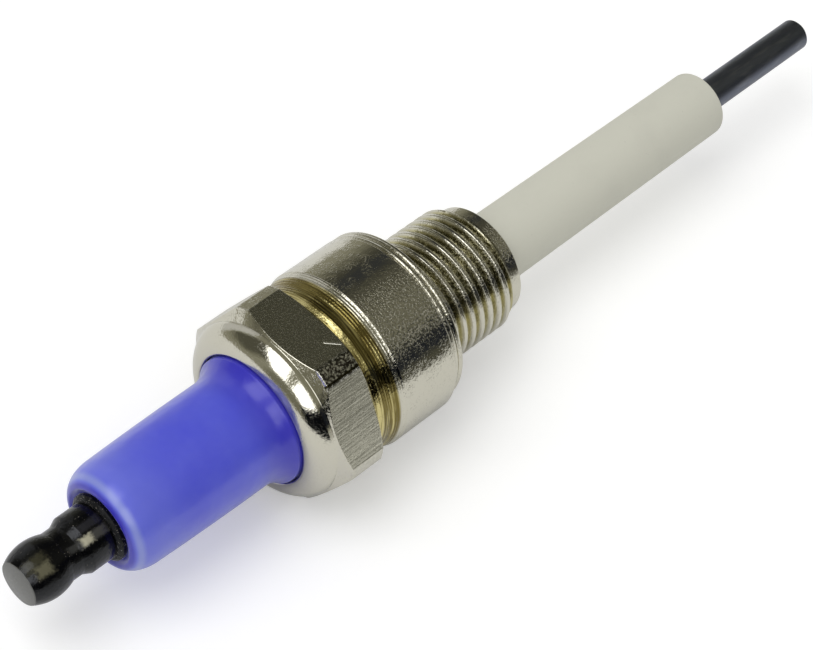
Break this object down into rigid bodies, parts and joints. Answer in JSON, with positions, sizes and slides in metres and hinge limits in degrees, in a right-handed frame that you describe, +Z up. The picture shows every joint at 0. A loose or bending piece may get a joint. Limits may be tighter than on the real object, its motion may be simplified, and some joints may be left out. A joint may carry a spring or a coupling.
{
  "type": "glow plug",
  "caption": "Screw-in glow plug with a hexagon shell, a blue upper insulator with a push-on terminal, and a long white ceramic tube holding a bare rod.",
  "frame": {"origin": "centre of the shell's seat face, on the plug's axis", "axes": "+X along the axis from the terminal towards the bare rod, +Z up, with the plug lying on one flat of its hexagon and on its collar"},
  "size_m": [0.1141, 0.0222, 0.02],
  "materials": {
    "plated_steel": "nickel plated, lightly pitted",
    "plain_steel": "bare steel",
    "white_ceramic": "unglazed, matte",
    "blue_glaze": "soft waxy blue",
    "talc": "pressed powder",
    "dark_glass": "fused conductive glass",
    "dark_rod": "heat-resistant alloy, dark oxide",
    "black_finish": "glossy black on brass"
  },
  "bodies": {
    "root": {"shell": "plated_steel", "gasket": "plated_steel", "seat_washer": "plain_steel", "ceramic_tube": "white_ceramic", "packing_ring_lower": "plain_steel", "packing_ring_upper": "plain_steel", "talc_packing": "talc", "upper_insulator": "blue_glaze", "electrode_rod": "dark_rod", "glass_seal": "dark_glass", "terminal_stud": "plain_steel", "terminal_ring": "black_finish", "terminal_nut": "black_finish"}
  },
  "joints": []
}
